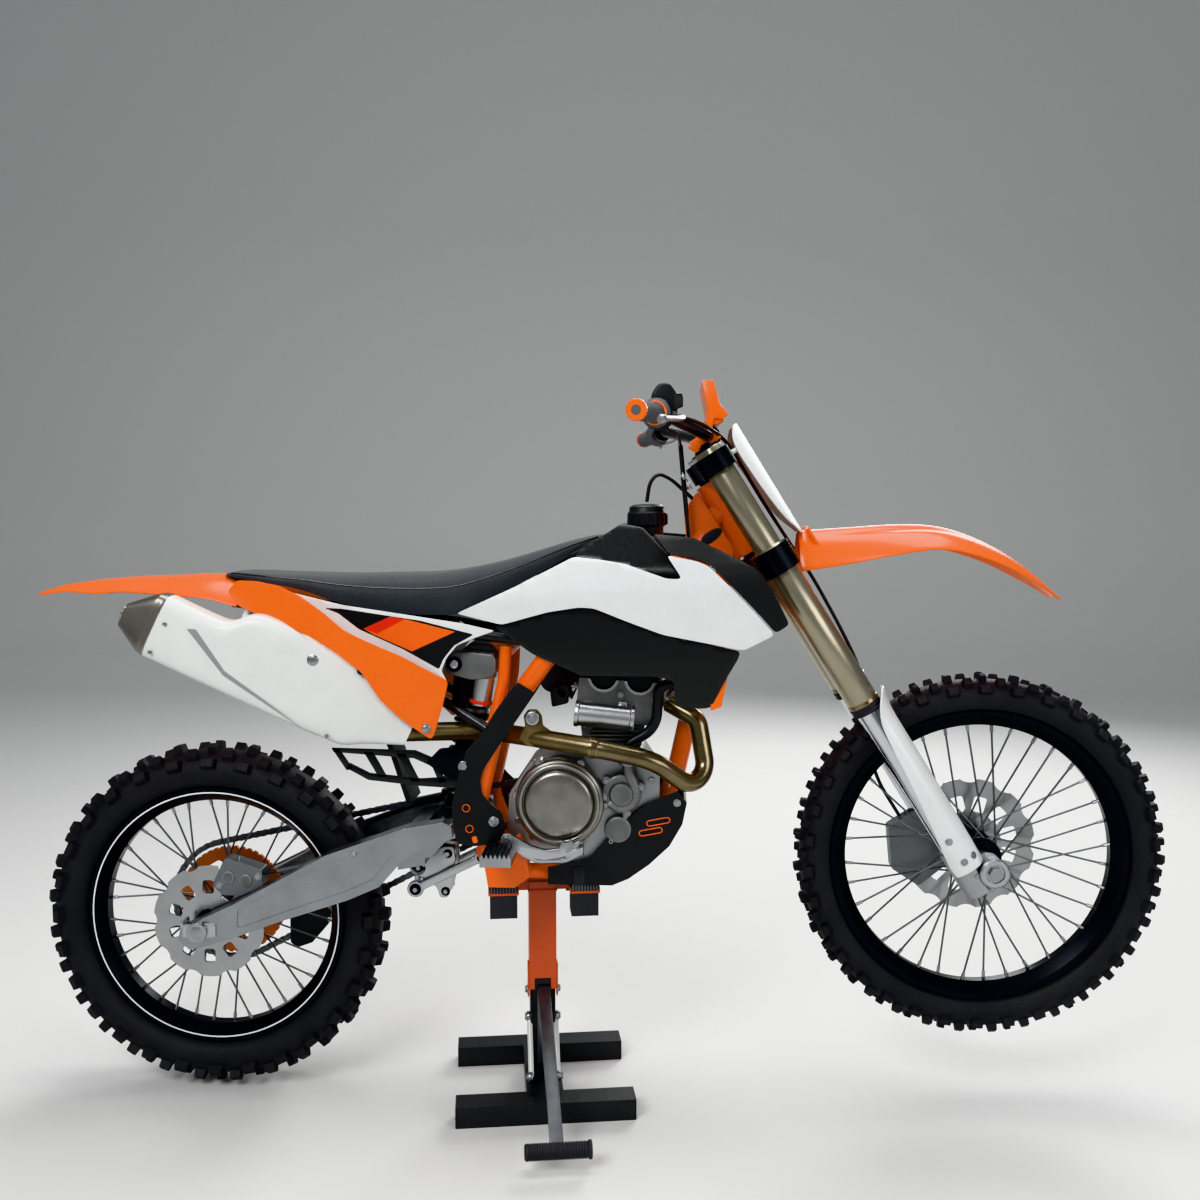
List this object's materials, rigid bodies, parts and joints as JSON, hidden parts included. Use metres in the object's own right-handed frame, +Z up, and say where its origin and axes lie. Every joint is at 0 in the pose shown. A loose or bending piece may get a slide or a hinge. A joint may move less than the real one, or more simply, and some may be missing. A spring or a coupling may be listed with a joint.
{
  "type": "motocross bike on a paddock lift stand",
  "caption": "Off-road competition motorcycle with knobbly tyres, held on a steel paddock lift stand; wheels turn and the fork steers.",
  "frame": {"origin": "centre of the lift stand's foot, on the floor, in the bike's middle plane", "axes": "+X forward along the bike, +Y to the rider's left, +Z up"},
  "size_m": [2.1703, 0.812, 1.379],
  "materials": {
    "rubber_black": "matte rubber",
    "tyre": "matte black rubber",
    "orange_paint": "gloss orange powder coat",
    "orange_plastic": "satin orange plastic",
    "white_plastic": "gloss white plastic",
    "black_plastic": "satin black plastic",
    "black_metal": "black paint",
    "aluminium": "cast and machined aluminium",
    "steel": "bare steel",
    "exhaust_steel": "heat-tinted stainless steel",
    "silencer_white": "white coated aluminium",
    "titanium": "brushed grey end cap",
    "chrome": "hard chrome",
    "fork_gold": "anodised champagne aluminium",
    "sprocket_orange": "anodised rusty orange",
    "seat_cover": "matte black grippy seat cover"
  },
  "bodies": {
    "chassis": {"stand_base": "black_metal", "stand_mast": "orange_paint", "stand_pads": "rubber_black", "stand_lever": "black_metal", "frame": "orange_paint", "frame_guards": "black_plastic", "subframe": "black_metal", "engine": "aluminium", "engine_covers": "aluminium", "valve_cover": "black_metal", "header_pipe": "exhaust_steel", "silencer": "silencer_white", "silencer_cap": "titanium", "radiators": "aluminium", "radiator_brace": "orange_plastic", "tank": "black_plastic", "shrouds_white": "white_plastic", "shrouds_black": "black_plastic", "seat": "seat_cover", "rear_fender": "orange_plastic", "side_panels": "white_plastic", "side_panels_lower": "orange_plastic", "airbox": "black_plastic", "skid_plate": "black_plastic", "footpegs": "steel", "foot_controls": "aluminium", "swingarm": "aluminium", "rear_axle": "steel", "shock": "black_metal", "linkage": "aluminium", "chain": "steel", "chain_guide": "black_plastic", "rear_calliper": "aluminium", "coolant_hoses": "rubber_black", "breather_hose": "rubber_black"},
    "steering": {"clamps": "black_metal", "fork_outers": "fork_gold", "fork_inners": "chrome", "axle_lugs": "aluminium", "fork_guards": "white_plastic", "front_fender": "orange_plastic", "number_plate": "white_plastic", "handlebar": "black_metal", "bar_pad": "orange_plastic", "grips": "rubber_black", "controls": "black_metal", "front_calliper": "aluminium", "brake_hose": "rubber_black", "bar_cables": "rubber_black"},
    "front_wheel": {"front_tyre": "tyre", "front_rim": "black_metal", "front_hub": "aluminium", "front_disc": "steel"},
    "rear_wheel": {"rear_tyre": "tyre", "rear_rim": "black_metal", "rear_hub": "aluminium", "rear_disc": "steel", "rear_sprocket": "sprocket_orange"}
  },
  "joints": [
    {"name": "steering_head", "type": "hinge", "parent": "chassis", "child": "steering", "pos_m": [0.36351, 0, 1.13252], "axis": [-0.5299, 0, 0.848], "range_deg": [-42, 42]},
    {"name": "front_wheel_spin", "type": "hinge", "parent": "steering", "child": "front_wheel", "pos_m": [0.837, 0, 0.488], "axis": [0, 1, 0], "continuous": true},
    {"name": "rear_wheel_spin", "type": "hinge", "parent": "chassis", "child": "rear_wheel", "pos_m": [-0.643, 0, 0.347], "axis": [0, 1, 0], "continuous": true}
  ]
}
